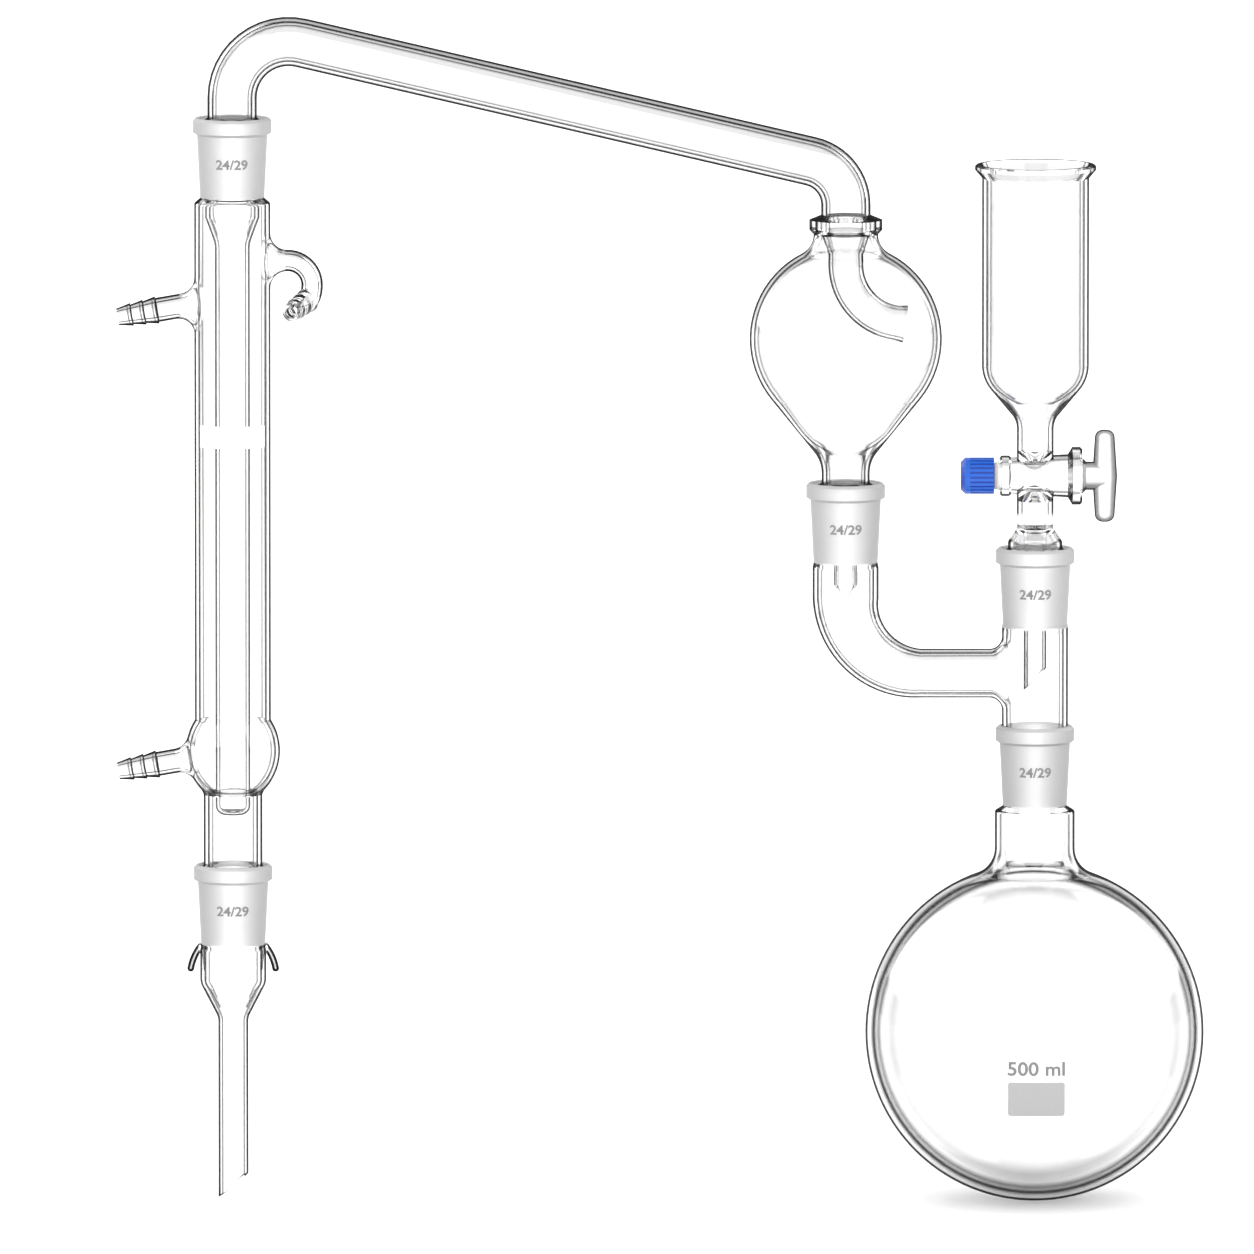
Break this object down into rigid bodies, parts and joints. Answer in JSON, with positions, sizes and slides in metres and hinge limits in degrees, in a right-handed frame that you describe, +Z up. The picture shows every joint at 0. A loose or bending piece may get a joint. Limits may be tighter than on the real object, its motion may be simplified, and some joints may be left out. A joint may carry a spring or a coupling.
{
  "type": "distillation assembly",
  "caption": "Blown glass distillation assembly: round flask, three-way adapter, dropping funnel, splash head, water-cooled condenser and delivery tube on ground joints.",
  "frame": {"origin": "lowest point of the flask, on the common axis of flask, adapter and funnel", "axes": "+Z up along the ground joints, +X from the condenser towards the flask, -Y towards the viewer"},
  "size_m": [0.3916, 0.122, 0.4283],
  "materials": {
    "clear_glass": "clear flame-polished borosilicate glass, ground to a grey frost at the joints",
    "satin_glass": "satin, ground glass",
    "white_plastic": "smooth, waxy",
    "ring_rubber": "soft, pale, dull",
    "blue_plastic": "moulded with fine grip ribs"
  },
  "bodies": {
    "flask": {"round_bottom_flask": "clear_glass"},
    "adapter": {"three_way_adapter": "clear_glass"},
    "funnel": {"dropping_funnel": "clear_glass"},
    "key": {"stopcock_key": "satin_glass"},
    "washers": {"stopcock_washer": "white_plastic", "stopcock_o_ring": "ring_rubber"},
    "nut": {"retaining_nut": "blue_plastic"},
    "splash": {"splash_head": "clear_glass"},
    "condenser": {"condenser": "clear_glass"},
    "delivery": {"delivery_tube": "clear_glass"}
  },
  "joints": [
    {"name": "adapter_swivel", "type": "hinge", "parent": "flask", "child": "adapter", "pos_m": [0, 0, 0.172], "axis": [0, 0, 1], "continuous": true},
    {"name": "funnel_swivel", "type": "hinge", "parent": "adapter", "child": "funnel", "pos_m": [0, 0, 0.2365], "axis": [0, 0, 1], "continuous": true},
    {"name": "key_turn", "type": "hinge", "parent": "funnel", "child": "key", "pos_m": [0, 0, 0.2625], "axis": [1, 0, 0], "continuous": true},
    {"name": "washer_slide", "type": "slide", "parent": "key", "child": "washers", "axis": [-1, 0, 0], "range_m": [0, 0.00375]},
    {"name": "nut_turn", "type": "hinge", "parent": "washers", "child": "nut", "pos_m": [-0.0129, 0, 0.2625], "axis": [-1, 0, 0], "range_deg": [0, 900]},
    {"name": "splash_swivel", "type": "hinge", "parent": "adapter", "child": "splash", "pos_m": [-0.0682, 0, 0.26], "axis": [0, 0, 1], "range_deg": [-135, 135]},
    {"name": "condenser_swivel", "type": "hinge", "parent": "splash", "child": "condenser", "pos_m": [-0.2888, 0, 0.39196], "axis": [0, 0, 1], "continuous": true},
    {"name": "delivery_swivel", "type": "hinge", "parent": "condenser", "child": "delivery", "pos_m": [-0.2888, 0, 0.12166], "axis": [0, 0, 1], "continuous": true}
  ],
  "couplings": [
    {"joint": "nut_turn", "follows": "washer_slide", "rad_per_m": 4188.8}
  ]
}
